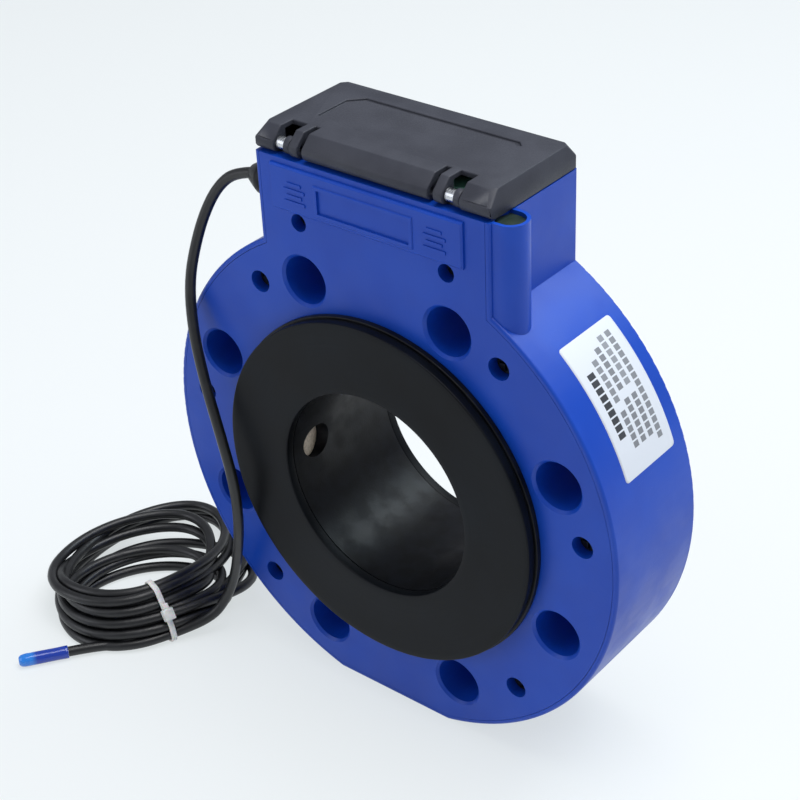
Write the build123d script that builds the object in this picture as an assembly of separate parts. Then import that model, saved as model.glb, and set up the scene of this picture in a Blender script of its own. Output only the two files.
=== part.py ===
from build123d import *
from math import cos, pi, radians, sin, sqrt, tan
import os

# Ultrasonic flow meter in wafer form, for a DN80 pipe between PN16 flanges.
# Millimetres, +Z up, pipe axis along Y, cover side towards -Y, origin on the bore axis at mid-length.

# Pipe and flange interface
bore_radius = 40.0
bolt_circle_radius = 80.0
bolt_count = 8
bolt_first_angle = 22.5
bolt_hole_radius = 9.0
bolt_hole_chamfer = 1.0
bolt_boss_wall = 2.5

# Moulded housing
housing_depth = 48.0
ring_edge = 9.0
foot_cut = 3.4
box_half_width = 48.5
rim_width = 1.8
seam_gap = 0.15
wall = 4.6
rear_wall = 4.0
edge_round = 1.1
rib_thickness = 3.0
rib_setback = 4.0

# Front cover
cover_thickness = 4.0
seal_thickness = 0.8
panel_shift = -1.5
pad_height = 1.3
pad_edge = 0.6
pad_half_width = 40.0
pad_top_margin = 2.1
pad_tall = 16.4
frame_half_width = 19.2
frame_margin = 3.0
frame_tall = 8.6
frame_depth = 0.3
frame_rim = 1.4
frame_rise = 0.5
frame_edge = 0.35
bar_height = 0.35
bar_sink = 0.55
bar_tall = 1.1
bar_pitch = 2.2
bar_margin = 0.6
bar_offset = 10.0
bar_lengths = (9.0, 6.5, 9.0, 6.0)

# Cover screws: six on a circle, two above in the box
screw_circle_offset = 4.8
screw_angles = (127.2, 52.8, 7.4, 172.6, -47.7, -132.7)
upper_screw_x = 31.0
upper_screw_drop = 22.3
screw_shank_radius = 1.5
screw_shank_clearance = 0.2
screw_fit = 0.03
screw_cross_width = 0.9
screw_cross_depth = 1.2
screw_head_height = 2.4
counterbore_radius = 4.15
upper_counterbore_radius = 3.25
counterbore_depth = 6.4
tower_web = 2.0
tower_wall = 2.0
screw_boss_radius = 4.4
screw_grip = 9.0
head_clearance = 0.7

# Flow tube with its flanges and gaskets
collar_radius = 58.0
waist_radius = 47.0
waist_half_length = 7.5
collar_clearance = 0.2
flange_radius = 67.8
flange_thickness = 2.2
gasket_radius = 67.0
gasket_thickness = 3.8
gasket_edge = 0.6
spigot_radius = 46.0
spigot_clearance = 0.05

# Ultrasonic transducers, one in each side of the bore
path_angle = 19.3
face_distance = 44.7
face_radius = 6.4
face_thickness = 1.2
face_chamfer = 0.3
capsule_length = 6.2
capsule_clearance = 0.12
capsule_end_gap = 0.1
lead_radius = 1.25
lead_hole_clearance = 0.15
lead_top_y = 5.5
lead_end_x = 38.2
lead_end_gap = 0.3
lead_collar_gap = 6.5
lead_first_bend = 3.2
lead_first_rise = 14.0
lead_places = [(57.5, 32.0), (51.0, 48.0), (46.0, 61.5), (43.6, 76.5), (41.0, 92.0)]
lead_depth_shares = (0.0, 0.0, 0.2, 0.45, 0.72, 0.9, 0.98, 1.0, 1.0)

# Side column for the sensor wires
column_radius = 6.25
column_proud = 2.7
column_setback = 1.05
column_wall = 1.25
column_length = 60.0
column_pocket_reach = 1.2
column_pocket_depth = 10.0
filler_drop = 1.4
filler_clearance = 0.05

# Electronics in the box
bezel_ledge_drop = 4.3
bezel_recess_wall = 2.4
bezel_recess_margin = 0.7
bezel_clearance = 0.3
bezel_front = -19.7
bezel_raised_front = -15.0
bezel_rise = 1.7
window_opening_half_width = 34.0
window_opening_front = -10.5
window_opening_rear = 13.5
glass_half_width = 38.0
glass_front = -13.8
glass_rear = 17.0
glass_thickness = 2.0
glass_rebate = 1.0
glass_clearance = 0.15
bezel_screw_x = 42.0
bezel_screw_front = -10.0
bezel_screw_rear = 17.6
bezel_screw_length = 8.0
bezel_screw_radius = 1.1
bezel_screw_head_radius = 2.1
bezel_screw_head_height = 1.4
driver_slot_length = 2.8
driver_slot_width = 0.6
driver_slot_depth = 0.6
bezel_boss_radius = 3.4
bezel_boss_length = 4.4
bezel_boss_floor = 0.6
board_drop = 7.0
board_gap = 2.2
board_thickness = 1.6
board_hole_clearance = 0.2
board_half_width = 39.5
board_front = -16.0
board_rear = 19.0
shelf_inner_x = 33.0
shelf_height = 8.0
shelf_depth = 8.0
shelf_centers = (-3.0, 14.5)
board_screw_x = 36.5
board_screw_length = 6.0
lcd_half_width = 33.0
lcd_front = -10.0
lcd_rear = 13.0
lcd_thickness = 4.8
lcd_frame = 2.5
lcd_recess = 0.8
cell_radius = 8.5
cell_length = 45.0
cell_gap = 0.5
cell_clearance = 0.3
cell_edge = 0.5
cell_button_height = 1.2
cell_button_radius = 3.0
cell_center_y = 1.0
holder_floor = 1.5
holder_wall = 1.2
holder_height = 14.0
holder_clearance = 0.3

# Lid and its hinge
hinge_y = -20.4
hinge_rise = 3.7
lid_gap = 0.3
lid_height = 8.9
lid_front = -23.9
lid_rear = 23.8
lid_wall = 2.0
lid_corner = 0.8
lid_top_corner = 2.0
lid_side_taper = 1.5
lid_shoulder_drop = 4.4
lid_rear_slope = 2.3
lid_front_slope_top = -19.2
lid_beam_rear = -17.0
barrel_radius = 3.4
barrel_touch_angle = 140.0
hinge_shift = -1.8
slot_inner_x = 26.0
slot_width = 2.1
slot_rear = -13.4
notch_inner_x = 31.7
notch_width = 6.6
notch_rear = -13.3
lug_width = 2.4
lug_clearance = 0.25
lug_radius = 3.0
lug_floor_gap = 0.1
pin_radius = 1.25
pin_clearance = 0.05
pin_end_inset = 0.6
bush_radius = 2.2
groove_width = 1.6
groove_depth = 0.9
groove_half_length = 34.6
groove_rear = 13.0
groove_left_end = -6.0
groove_corner = 4.5
groove_hook = 2.0

# Cable and its gland in the left wall
cable_radius = 2.0
gland_y = -14.1
gland_drop = 15.1
gland_neck_radius = 4.5
gland_flange_radius = 6.6
gland_flange_thickness = 2.6
gland_length = 11.0
gland_thread_length = 3.0
gland_thread_clearance = 0.05
gland_inner_proud = 0.6
gland_tip_radius = 3.2
gland_nut_radius = 6.2
gland_nut_straight = 2.8
gland_nut_shoulder = 2.4
gland_nut_shoulder_inset = 1.2
gland_seal_radius = 3.6
gland_seal_length = 2.2
gland_seal_end_gap = 0.1
gland_seal_grip = 0.02
locknut_radius = 5.5
locknut_thickness = 3.4
inner_cable_length = 9.0
cord_clearance = 0.15
lead_route = [
    (-67.7, -14.3, 101.1), (-74.5, -15.6, 95.9), (-79.6, -18.0, 87.2), (-83.2, -21.6, 74.7),
    (-84.8, -26.4, 58.5), (-81.0, -30.8, 41.0), (-74.2, -34.2, 23.0), (-66.2, -36.8, 4.0),
    (-60.6, -37.9, -14.5), (-61.4, -36.8, -33.0), (-66.6, -33.8, -50.0), (-72.4, -31.6, -66.8),
    (-77.0, -33.0, -79.0), (-80.4, -38.6, -86.6), (-83.2, -45.2, -90.4),
]

# Coil, loose end and sleeve on the floor beside the meter
coil_turn = 40.0
coil_center = (-121.4, -31.9)
coil_half_width = 36.5
coil_half_length = 44.5
coil_height = 24.0
coil_rear_height = 11.0
coil_flat_length = 22.0
coil_hole_half_width = 15.0
coil_hole_half_length = 13.0
coil_hole_shift = -5.5
tail_route = [(-103.4, -67.4, -92.5), (-110.4, -75.6, -92.0), (-117.5, -83.0, -92.0)]
sleeve_radius = 2.6
sleeve_length = 18.9
sleeve_tip_radius = 1.7
sleeve_tip_length = 2.5
tie_width = 2.6
tie_thickness = 0.9
tie_floor_gap = 0.1
tie_place = 10.5
tie_inner_reach = -20.0
tie_head_size = (4.6, 4.4, 3.6)
tie_head_height = 10.0

# Rating label on the ring's right side
label_low_angle = 19.2
label_high_angle = 48.1
label_front = -11.6
label_rear = 17.4
label_thickness = 0.3
label_corner = 1.4

# How far cutters reach past a piece, joined solids into each other, and an edge search
past = 5.0
bite = 1.0
near = 0.1

# Derived places
ring_radius = bolt_circle_radius + bolt_hole_radius + ring_edge
foot_height = ring_radius - foot_cut
screw_circle_radius = bolt_circle_radius + screw_circle_offset
half_depth = housing_depth / 2
front_face = -half_depth
cover_rear = front_face + cover_thickness
ledge_face = cover_rear + seal_thickness
rear_inner = half_depth - rear_wall
tube_end = half_depth + flange_thickness
overall_end = tube_end + gasket_thickness
holder_base = collar_radius + holder_clearance
cell_base = holder_base + holder_floor
board_height = cell_base + cell_length + board_gap
board_top = board_height + board_thickness
bezel_ledge_height = board_height + board_drop
box_top = bezel_ledge_height + bezel_ledge_drop
bezel_top = box_top + bezel_rise
bezel_boss_bottom = bezel_ledge_height - bezel_boss_length
bezel_recess_half_width = box_half_width - bezel_recess_wall
bezel_recess_rear = half_depth - rim_width - bezel_recess_margin
bezel_rear = bezel_recess_rear - bezel_clearance
pad_high = box_top - pad_top_margin
pad_low = pad_high - pad_tall
frame_low = pad_low + frame_margin
frame_high = frame_low + frame_tall
upper_screw_z = box_top - upper_screw_drop
hinge_z = box_top + hinge_rise
lid_bottom = box_top + lid_gap
lid_top = lid_bottom + lid_height
column_center_x = box_half_width + column_proud
column_center_y = front_face + column_setback + column_radius
column_pocket_left = box_half_width - column_pocket_reach
tower_rear = front_face + counterbore_depth + tower_web
boss_radius = bolt_hole_radius + bolt_boss_wall
wall_outer_x = -box_half_width
wall_inner_x = wall - box_half_width
gland_z = box_top - gland_drop
gland_flange_x = wall_outer_x - gland_flange_thickness
gland_thread_x = gland_flange_x - gland_thread_length
gland_tip_x = wall_outer_x - gland_length
floor_z = -foot_height
bolt_angles = [bolt_first_angle + 360.0 / bolt_count * i for i in range(bolt_count)]
upright = (Align.CENTER, Align.CENTER, Align.MIN)
parts = {}


def along_y(face, y0, y1):
    """Extrude a face drawn as (x, z) from y0 to y1."""
    return Pos(0, y1, 0) * Rot(90, 0, 0) * extrude(face, y1 - y0, dir=(0, 0, 1))


def along_x(face, x0, x1):
    """Extrude a face drawn as (y, z) from x0 to x1."""
    side_plane = Plane(origin=(x0, 0, 0), x_dir=(0, 1, 0), z_dir=(1, 0, 0))
    return side_plane * extrude(face, x1 - x0, dir=(0, 0, 1))


def along_z(face, z0, z1):
    """Extrude a face drawn as (x, y) from z0 to z1."""
    return Pos(0, 0, z0) * extrude(face, z1 - z0, dir=(0, 0, 1))


def block(x0, x1, y0, y1, z0, z1):
    """A box between two corners."""
    return Pos((x0 + x1) / 2, (y0 + y1) / 2, (z0 + z1) / 2) * Box(x1 - x0, y1 - y0, z1 - z0)


def rod_y(x, z, radius, y0, y1):
    """A cylinder along Y."""
    return along_y(Pos(x, z) * Circle(radius), y0, y1)


def rod_x(y, z, radius, x0, x1):
    """A cylinder along X."""
    return along_x(Pos(y, z) * Circle(radius), x0, x1)


def polar(radius, angle):
    """The (x, z) place at an angle on a circle round the bore axis."""
    return radius * cos(radians(angle)), radius * sin(radians(angle))


def ring_outline(inset):
    """The ring's outline with its flat foot, moved inwards."""
    radius = ring_radius - inset
    foot = foot_height - inset
    return Circle(radius) - Pos(0, -foot - radius) * Rectangle(2 * radius, 2 * radius)


def outline(inset, top):
    """The housing's front outline, moved inwards: the ring with the box on top."""
    half = box_half_width - inset
    return ring_outline(inset) + Pos(0, top / 2) * Rectangle(2 * half, top)


def cover_screw_places():
    """Place, counterbore radius and head radius of each cover screw."""
    places = [polar(screw_circle_radius, angle) + (counterbore_radius,) for angle in screw_angles]
    return places + [(side * upper_screw_x, upper_screw_z, upper_counterbore_radius) for side in (-1, 1)]


def bolt_holes(y0, y1, radius):
    """Cylinders at the flange bolt places."""
    rods = [rod_y(*polar(bolt_circle_radius, angle), radius, y0, y1) for angle in bolt_angles]
    return Compound(rods)


def hole_chamfers(face_y, inward):
    """Cones that break the edges of the bolt holes on one face."""
    cones = []
    for angle in bolt_angles:
        x, z = polar(bolt_circle_radius, angle)
        cone = Cone(bolt_hole_radius + bolt_hole_chamfer, bolt_hole_radius, bolt_hole_chamfer)
        middle = face_y + inward * bolt_hole_chamfer / 2
        cones.append(Pos(x, middle, z) * Rot(-90 * inward, 0, 0) * cone)
    return Compound(cones)


def column_outline(inset, left):
    """The side column seen from above, moved inwards."""
    radius = column_radius - inset
    straight = Pos((left + column_center_x) / 2, column_center_y)
    return straight * Rectangle(column_center_x - left, 2 * radius) + (
        Pos(column_center_x, column_center_y) * Circle(radius)
    )


def make_body_shell():
    """Ring, box and side column moulded in one, open at the front and at the top of the box."""
    ring = along_y(ring_outline(0), front_face, half_depth)
    ring = fillet(face_edges(ring, front_face) + face_edges(ring, half_depth), edge_round)
    box = block(-box_half_width, box_half_width, front_face, half_depth, 0, box_top)
    outer = ring + fillet(box.edges().filter_by(Axis.Z), edge_round)
    column_left = box_half_width - rim_width
    shell = outer + along_z(column_outline(0, column_left), box_top - column_length, box_top)
    shell -= along_y(outline(wall, box_top + past), ledge_face, rear_inner)
    shell -= along_y(outline(rim_width, box_top + past), front_face - past, ledge_face)
    recess = block(
        -bezel_recess_half_width, bezel_recess_half_width,
        ledge_face, bezel_recess_rear, bezel_ledge_height, box_top + past,
    )
    shell -= recess
    shell += interior_posts()
    pocket = column_outline(column_wall, column_pocket_left)
    shell -= along_z(pocket, box_top - column_pocket_depth, box_top + past)
    shell -= bolt_holes(cover_rear - past, half_depth + past, bolt_hole_radius)
    shell -= hole_chamfers(half_depth, -1)
    shell -= rod_y(0, 0, collar_radius + collar_clearance, 0, half_depth + past)
    for x, z, _ in cover_screw_places():
        hole_end = tower_rear + screw_grip + bite
        shell -= rod_y(x, z, screw_shank_radius + screw_fit, tower_rear - bite, hole_end)
    for x, y in bezel_screw_places():
        hole = Pos(x, y) * Circle(bezel_screw_radius + screw_fit)
        shell -= along_z(hole, bezel_boss_bottom + bezel_boss_floor, bezel_ledge_height + bite)
    for x, y in board_screw_places():
        hole = Pos(x, y) * Circle(bezel_screw_radius + screw_fit)
        shell -= along_z(hole, board_height - board_screw_length, board_height + bite)
    gland_hole = gland_neck_radius + cord_clearance
    return shell - rod_x(gland_y, gland_z, gland_hole, wall_outer_x - bite, wall_inner_x + bite)


def face_edges(solid, y):
    """Edges that lie in one plane across the bore."""
    return solid.edges().filter_by_position(Axis.Y, y - near, y + near)


def interior_posts():
    """Bolt tubes, screw posts, ribs, board shelves and bezel bosses inside the shell."""
    solids = []
    bridge = ring_radius - wall - bolt_circle_radius
    for angle in bolt_angles:
        x, z = polar(bolt_circle_radius, angle)
        solids.append(rod_y(x, z, boss_radius, cover_rear, rear_inner + bite))
        if abs(x) > box_half_width - wall:
            rib = rib_thickness / 2
            web = block(0, bridge + bite, ledge_face + rib_setback, rear_inner + bite, -rib, rib)
            solids.append(Rot(0, -angle, 0) * Pos(bolt_circle_radius, 0, 0) * web)
    for x, z, _ in cover_screw_places():
        solids.append(rod_y(x, z, screw_boss_radius, tower_rear, rear_inner + bite))
    for side in (-1, 1):
        inner_wall = box_half_width - wall
        for y in shelf_centers:
            low, high = sorted((side * shelf_inner_x, side * (inner_wall + bite)))
            shelf_z = board_height - shelf_height
            solids.append(block(low, high, y - shelf_depth / 2, y + shelf_depth / 2, shelf_z, board_height))
        for y in (bezel_screw_front, bezel_screw_rear):
            boss = Pos(side * bezel_screw_x, y) * Circle(bezel_boss_radius)
            solids.append(along_z(boss, bezel_boss_bottom, bezel_ledge_height))
    return solids


def make_front_cover():
    """Flat moulded cover set into the shell's rim, with deep screw wells and a raised name panel."""
    cover = along_y(outline(rim_width + seam_gap, box_top), front_face, cover_rear)
    for x, z, radius in cover_screw_places():
        cover += rod_y(x, z, radius + tower_wall, cover_rear - bite, tower_rear)
    cover += name_panel()
    cover += name_bars()
    for x, z, radius in cover_screw_places():
        cover -= rod_y(x, z, radius, front_face - past, front_face + counterbore_depth)
        cover -= rod_y(x, z, screw_shank_radius + screw_shank_clearance, front_face, tower_rear + bite)
    cover -= bolt_holes(front_face - past, cover_rear + past, bolt_hole_radius)
    cover -= hole_chamfers(front_face, 1)
    cover -= rod_y(0, 0, collar_radius + collar_clearance, front_face - past, cover_rear + past)
    return cover


def raised_plate(half, face_y, low, high, cut):
    """Plate standing on the cover, its front edges cut back."""
    plate = block(panel_shift - half, panel_shift + half, face_y, front_face + bite, low, high)
    return chamfer(face_edges(plate, face_y), cut)


def name_panel():
    """Raised pad that carries a rim round a sunken field."""
    pad_face = front_face - pad_height
    pad = raised_plate(pad_half_width, pad_face, pad_low, pad_high, pad_edge)
    rim = raised_plate(
        frame_half_width + frame_rim, pad_face - frame_rise,
        frame_low - frame_rim, frame_high + frame_rim, frame_edge,
    )
    field = block(
        panel_shift - frame_half_width, panel_shift + frame_half_width,
        pad_face - past, pad_face + frame_depth, frame_low, frame_high,
    )
    return pad + rim - field


def name_bars():
    """Plain raised bars at both ends of the name panel."""
    bars = []
    pad_face = front_face - pad_height
    for side in (-1, 1):
        for row, length in enumerate(bar_lengths):
            left = panel_shift + side * (frame_half_width + bar_offset) - length / 2
            z = frame_low + bar_margin + row * bar_pitch
            bar_face = pad_face - bar_height
            bars.append(block(left, left + length, bar_face, pad_face + bar_sink, z, z + bar_tall))
    return bars


def make_cover_seal():
    """Flat rubber strip between the cover and the shell's ledge."""
    top = bezel_ledge_height - seam_gap
    ring = outline(rim_width + seam_gap, top) - outline(wall, box_top + past)
    return along_y(ring, cover_rear, ledge_face)


def make_cover_screws():
    """Pan-head screws at the bottom of the cover's wells."""
    screws = []
    seat = front_face + counterbore_depth
    for x, z, radius in cover_screw_places():
        head_radius = radius - head_clearance
        screw = rod_y(x, z, head_radius, seat - screw_head_height, seat)
        screw += rod_y(x, z, screw_shank_radius, seat - bite, tower_rear + screw_grip)
        reach = head_radius - screw_cross_width
        half = screw_cross_width / 2
        top = seat - screw_head_height
        for turn in (0, 90):
            cross = block(-reach, reach, top - past, top + screw_cross_depth, -half, half)
            screw -= Pos(x, 0, z) * Rot(0, turn, 0) * cross
        screws.append(screw)
    return Compound(screws)


def make_flow_tube():
    """Bore tube with two collars, a rear flange and a pocket for each transducer."""
    profile = Polygon(
        (bore_radius, -tube_end), (spigot_radius, -tube_end), (spigot_radius, front_face),
        (collar_radius, front_face), (collar_radius, -waist_half_length),
        (waist_radius, -waist_half_length), (waist_radius, waist_half_length),
        (collar_radius, waist_half_length), (collar_radius, half_depth),
        (flange_radius, half_depth), (flange_radius, tube_end), (bore_radius, tube_end),
        align=None,
    )
    tube = revolve(profile, Axis.Y)
    for side in (-1, 1):
        reach = face_distance + face_thickness + capsule_length + capsule_end_gap
        pocket = Cylinder(face_radius + capsule_clearance, reach, align=upright)
        tube -= transducer_frame(side) * pocket
        exit_y = capsule_back(side)
        low, high = sorted((side * (face_distance + face_thickness), side * (collar_radius + past)))
        tube -= rod_x(exit_y, 0, lead_radius + lead_hole_clearance, low, high)
    return tube


def transducer_frame(side):
    """Frame at the bore's centre whose Z points along the sound path to one side."""
    turn = -90 if side < 0 else 90
    return Rot(0, 0, path_angle) * Rot(0, turn, 0)


def capsule_back(side):
    """Y place where a capsule's back meets its lead."""
    return side * (face_distance + face_thickness + capsule_length) * sin(radians(path_angle))


def make_transducer(side):
    """Round sensor capsule set flush in the bore wall."""
    start = face_distance + face_thickness
    body = Cylinder(face_radius, capsule_length, align=upright)
    return transducer_frame(side) * Pos(0, 0, start) * body


def make_transducer_face(side):
    """Thin matching disc on the front of a capsule."""
    disc = Cylinder(face_radius, face_thickness, align=upright)
    disc = chamfer(disc.edges().group_by(Axis.Z)[0], face_chamfer)
    return transducer_frame(side) * Pos(0, 0, face_distance) * disc


def bend_radii(points):
    """Largest bend at each corner that its two runs leave room for."""
    radii = []
    for before, here, after in zip(points, points[1:], points[2:]):
        first = Vector(*here) - Vector(*before)
        second = Vector(*after) - Vector(*here)
        turn = first.get_angle(second)
        shorter = min(first.length, second.length)
        radii.append(0.45 * shorter / tan(radians(turn / 2)))
    return radii


def tube_along(points, radius, name):
    """Round tube along straight runs joined by tangent bends."""
    radii = bend_radii(points)
    path = FilletPolyline(*points, radius=radii)
    start = Vector(*points[1]) - Vector(*points[0])
    solid = sweep(Plane(origin=points[0], z_dir=start) * Circle(radius), path=path)
    expected = pi * radius ** 2 * path.length
    print(name, "length", round(path.length, 1), "volume ratio", round(solid.volume / expected, 4))
    print(name, "bend radii", [round(value, 1) for value in radii])
    return solid


def make_sensor_lead(side):
    """Wire from a transducer up the inside of the housing to the board."""
    start_y = capsule_back(side)
    start_x = abs(start_y) / tan(radians(path_angle)) + lead_radius * tan(radians(path_angle))
    places = [
        (start_x, 0.0), (collar_radius + lead_collar_gap, 0.0),
        (collar_radius + lead_first_bend, lead_first_rise), *lead_places,
        (lead_end_x, board_height - lead_end_gap),
    ]
    across = lead_top_y - start_y
    points = [(side * x, start_y + share * across, z) for (x, z), share in zip(places, lead_depth_shares)]
    return tube_along(points, lead_radius, "sensor lead")


def make_front_flange_ring():
    """Loose flange on the tube's front spigot."""
    face = Circle(flange_radius) - Circle(spigot_radius + spigot_clearance)
    return along_y(face, -tube_end, front_face)


def make_gasket(side):
    """Rubber face gasket with softened edges."""
    face = Circle(gasket_radius) - Circle(bore_radius)
    low, high = sorted((side * tube_end, side * overall_end))
    ring = along_y(face, low, high)
    place = side * overall_end
    return chamfer(face_edges(ring, place), gasket_edge)


def make_column_filler():
    """Sealing compound poured into the side column."""
    face = column_outline(column_wall + filler_clearance, column_pocket_left + filler_clearance)
    return along_z(face, box_top - column_pocket_depth, box_top - filler_drop)


def make_display_bezel():
    """Black frame in the mouth of the box, with two hinge lugs at its front edge."""
    half = bezel_recess_half_width - bezel_clearance
    bezel = block(-half, half, bezel_front, bezel_rear, bezel_ledge_height, box_top)
    bezel += block(-half, half, bezel_raised_front, bezel_rear, box_top - bite, bezel_top)
    opening = block(
        -window_opening_half_width, window_opening_half_width,
        window_opening_front, window_opening_rear, bezel_ledge_height - past, bezel_top + past,
    )
    bezel -= opening
    rebate = glass_half_width + glass_clearance
    bezel -= block(
        -rebate, rebate, glass_front - glass_clearance, glass_rear + glass_clearance,
        bezel_top - glass_rebate, bezel_top + past,
    )
    for side in (-1, 1):
        low, high = lug_span(side)
        lug = rod_x(hinge_y, hinge_z, lug_radius, low, high)
        lug += block(low, high, hinge_y, bezel_raised_front + bite, lid_bottom + lug_floor_gap, bezel_top)
        lug += block(low, high, hinge_y, hinge_y + lug_radius, lid_bottom + lug_floor_gap, hinge_z)
        bezel += lug
    for side in (-1, 1):
        low, high = lug_span(side)
        bezel -= rod_x(hinge_y, hinge_z, pin_radius + screw_fit, low - bite, high + bite)
    for x, y in bezel_screw_places():
        hole = Pos(x, y) * Circle(bezel_screw_radius + board_hole_clearance)
        bezel -= along_z(hole, bezel_ledge_height - past, bezel_top + past)
    return bezel


def span(side, inner, outer):
    """X range between two distances from the middle of the hinge, on one side of it."""
    low, high = sorted((side * inner, side * outer))
    return hinge_shift + low, hinge_shift + high


def notch_span(side):
    """X range of a notch in the lid."""
    return span(side, notch_inner_x, notch_inner_x + notch_width)


def lug_span(side):
    """X range of a hinge lug: each lug sits at the right-hand end of its notch."""
    high = notch_span(side)[1] - lug_clearance
    return high - lug_width, high


def bush_span(side):
    """X range of the steel bush beside a lug."""
    low = notch_span(side)[0] + lug_clearance
    return low, lug_span(side)[0]


def make_hinge_pin(side):
    """Steel pin through a lid arm, the bush and the lug."""
    arm = slot_inner_x + slot_width + pin_end_inset
    far = notch_inner_x + notch_width - lug_clearance
    return rod_x(hinge_y, hinge_z, pin_radius, *span(side, arm, far))


def make_hinge_bush(side):
    """Steel bush on the pin."""
    low, high = bush_span(side)
    bush = rod_x(hinge_y, hinge_z, bush_radius, low, high)
    return bush - rod_x(hinge_y, hinge_z, pin_radius + screw_fit, low - bite, high + bite)


def lid_outline(half, front, rear, corner):
    """Rectangle with cut corners, seen from above."""
    plan = Pos(0, (front + rear) / 2) * Rectangle(2 * half, rear - front)
    return chamfer(plan.vertices(), corner)


def lid_block():
    """Lid's outer block: upright sides, then sides that slope in to a smaller top."""
    shoulder = lid_top - lid_shoulder_drop
    half = box_half_width
    low = lid_outline(half, lid_front, lid_rear, lid_corner)
    top_rear = lid_rear - lid_rear_slope
    top = lid_outline(half - lid_side_taper, lid_front_slope_top, top_rear, lid_top_corner)
    upper = loft([Pos(0, 0, shoulder) * low, Pos(0, 0, lid_top) * top], ruled=True)
    return along_z(low, lid_bottom, shoulder) + upper


def lid_section():
    """Lid's side section, rounded about the hinge so that its front clears the box, drawn as (y, z)."""
    barrel = Pos(hinge_y, hinge_z) * Circle(barrel_radius)
    lean = radians(barrel_touch_angle)
    touch = (hinge_y + barrel_radius * cos(lean), hinge_z + barrel_radius * sin(lean))
    behind = Polygon(
        (hinge_y, lid_bottom), (lid_rear, lid_bottom), (lid_rear, lid_top),
        (lid_front_slope_top, lid_top), touch, (hinge_y, hinge_z),
        align=None,
    )
    return barrel + behind


def make_lid():
    """Hollow lid with a rounded hinge edge, two slots, two notches and a groove on top."""
    half = box_half_width
    lid = lid_block() & along_x(lid_section(), -half, half)
    inner = half - lid_wall
    roof = lid_top - lid_wall
    lid -= block(-inner, inner, lid_beam_rear, lid_rear - lid_wall, lid_bottom - past, roof)
    for side in (-1, 1):
        low, high = span(side, slot_inner_x, slot_inner_x + slot_width)
        lid -= block(low, high, lid_front - past, slot_rear, lid_bottom - past, lid_top + past)
        low, high = notch_span(side)
        lid -= block(low, high, lid_front - past, notch_rear, lid_bottom - past, lid_top + past)
        low, high = span(side, slot_inner_x - bite, notch_inner_x + bite)
        lid -= rod_x(hinge_y, hinge_z, pin_radius + pin_clearance, low, high)
    lid -= lid_groove()
    return lid


def lid_groove():
    """Shallow groove round three sides of the lid's top, open towards the hinge."""
    path = Polyline(
        (-groove_half_length, groove_left_end), (-groove_half_length, groove_rear - groove_corner),
        (groove_corner - groove_half_length, groove_rear), (groove_half_length - groove_hook, groove_rear),
        (groove_half_length, groove_rear - groove_hook),
    )
    face = trace(path, line_width=groove_width)
    return along_z(face, lid_top - groove_depth, lid_top + past)


def make_display_window():
    """Glass pane over the display."""
    base = bezel_top - glass_rebate
    return block(-glass_half_width, glass_half_width, glass_front, glass_rear, base, base + glass_thickness)


def bezel_screw_places():
    """The four corners of the bezel."""
    return [(x, y) for x in (-bezel_screw_x, bezel_screw_x) for y in (bezel_screw_front, bezel_screw_rear)]


def board_screw_places():
    """The four shelves under the board."""
    return [(x, y) for x in (-board_screw_x, board_screw_x) for y in shelf_centers]


def upright_screws(places, seat, length):
    """Small pan-head screws pointing down."""
    screws = []
    for x, y in places:
        top = seat + bezel_screw_head_height
        screw = along_z(Pos(x, y) * Circle(bezel_screw_head_radius), seat, top)
        screw += along_z(Pos(x, y) * Circle(bezel_screw_radius), seat - length, (seat + top) / 2)
        long, wide = driver_slot_length / 2, driver_slot_width / 2
        screw -= block(x - long, x + long, y - wide, y + wide, top - driver_slot_depth, top + bite)
        screws.append(screw)
    return Compound(screws)


def make_main_board():
    """Printed circuit board on the four shelves."""
    board = block(-board_half_width, board_half_width, board_front, board_rear, board_height, board_top)
    for x, y in board_screw_places():
        hole = Pos(x, y) * Circle(bezel_screw_radius + board_hole_clearance)
        board -= along_z(hole, board_height - past, board_top + past)
    return board


def make_lcd_module():
    """Liquid-crystal display in its frame, with a shallow viewing recess."""
    top = board_top + lcd_thickness
    module = block(-lcd_half_width, lcd_half_width, lcd_front, lcd_rear, board_top, top)
    half = lcd_half_width - lcd_frame
    front, rear = lcd_front + lcd_frame, lcd_rear - lcd_frame
    return module - block(-half, half, front, rear, top - lcd_recess, top + past)


def cell_span():
    """Half the spacing of the two cells."""
    return cell_radius + cell_gap / 2


def make_battery_holder():
    """Open tray that carries two upright cells."""
    reach = cell_span() + cell_radius + cell_clearance
    depth = cell_radius + cell_clearance
    top = holder_base + holder_height
    tray = block(
        -reach - holder_wall, reach + holder_wall, cell_center_y - depth - holder_wall,
        cell_center_y + depth + holder_wall, holder_base, top,
    )
    return tray - block(-reach, reach, cell_center_y - depth, cell_center_y + depth, cell_base, top + past)


def make_battery_cells():
    """Two lithium cells with their small contact buttons."""
    cells = []
    top = cell_base + cell_length
    shoulder = top - cell_button_height
    for side in (-1, 1):
        place = Pos(side * cell_span(), cell_center_y)
        cell = along_z(place * Circle(cell_radius), cell_base, shoulder)
        cell = chamfer(cell.edges().filter_by(GeomType.CIRCLE), cell_edge)
        cells.append(cell + along_z(place * Circle(cell_button_radius), shoulder - bite, top))
    return Compound(cells)


def make_gland_body():
    """Threaded neck through the box wall, with its outer flange and a seat for the seal."""
    inner_end = wall_inner_x + locknut_thickness + gland_inner_proud
    hexagon = RegularPolygon(gland_flange_radius, 6, rotation=30)
    body = along_x(Pos(gland_y, gland_z) * hexagon, gland_flange_x, wall_outer_x)
    body += rod_x(gland_y, gland_z, gland_neck_radius, gland_thread_x, inner_end)
    bore = cable_radius + cord_clearance
    return body - rod_x(gland_y, gland_z, bore, gland_thread_x - past, inner_end + past)


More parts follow.
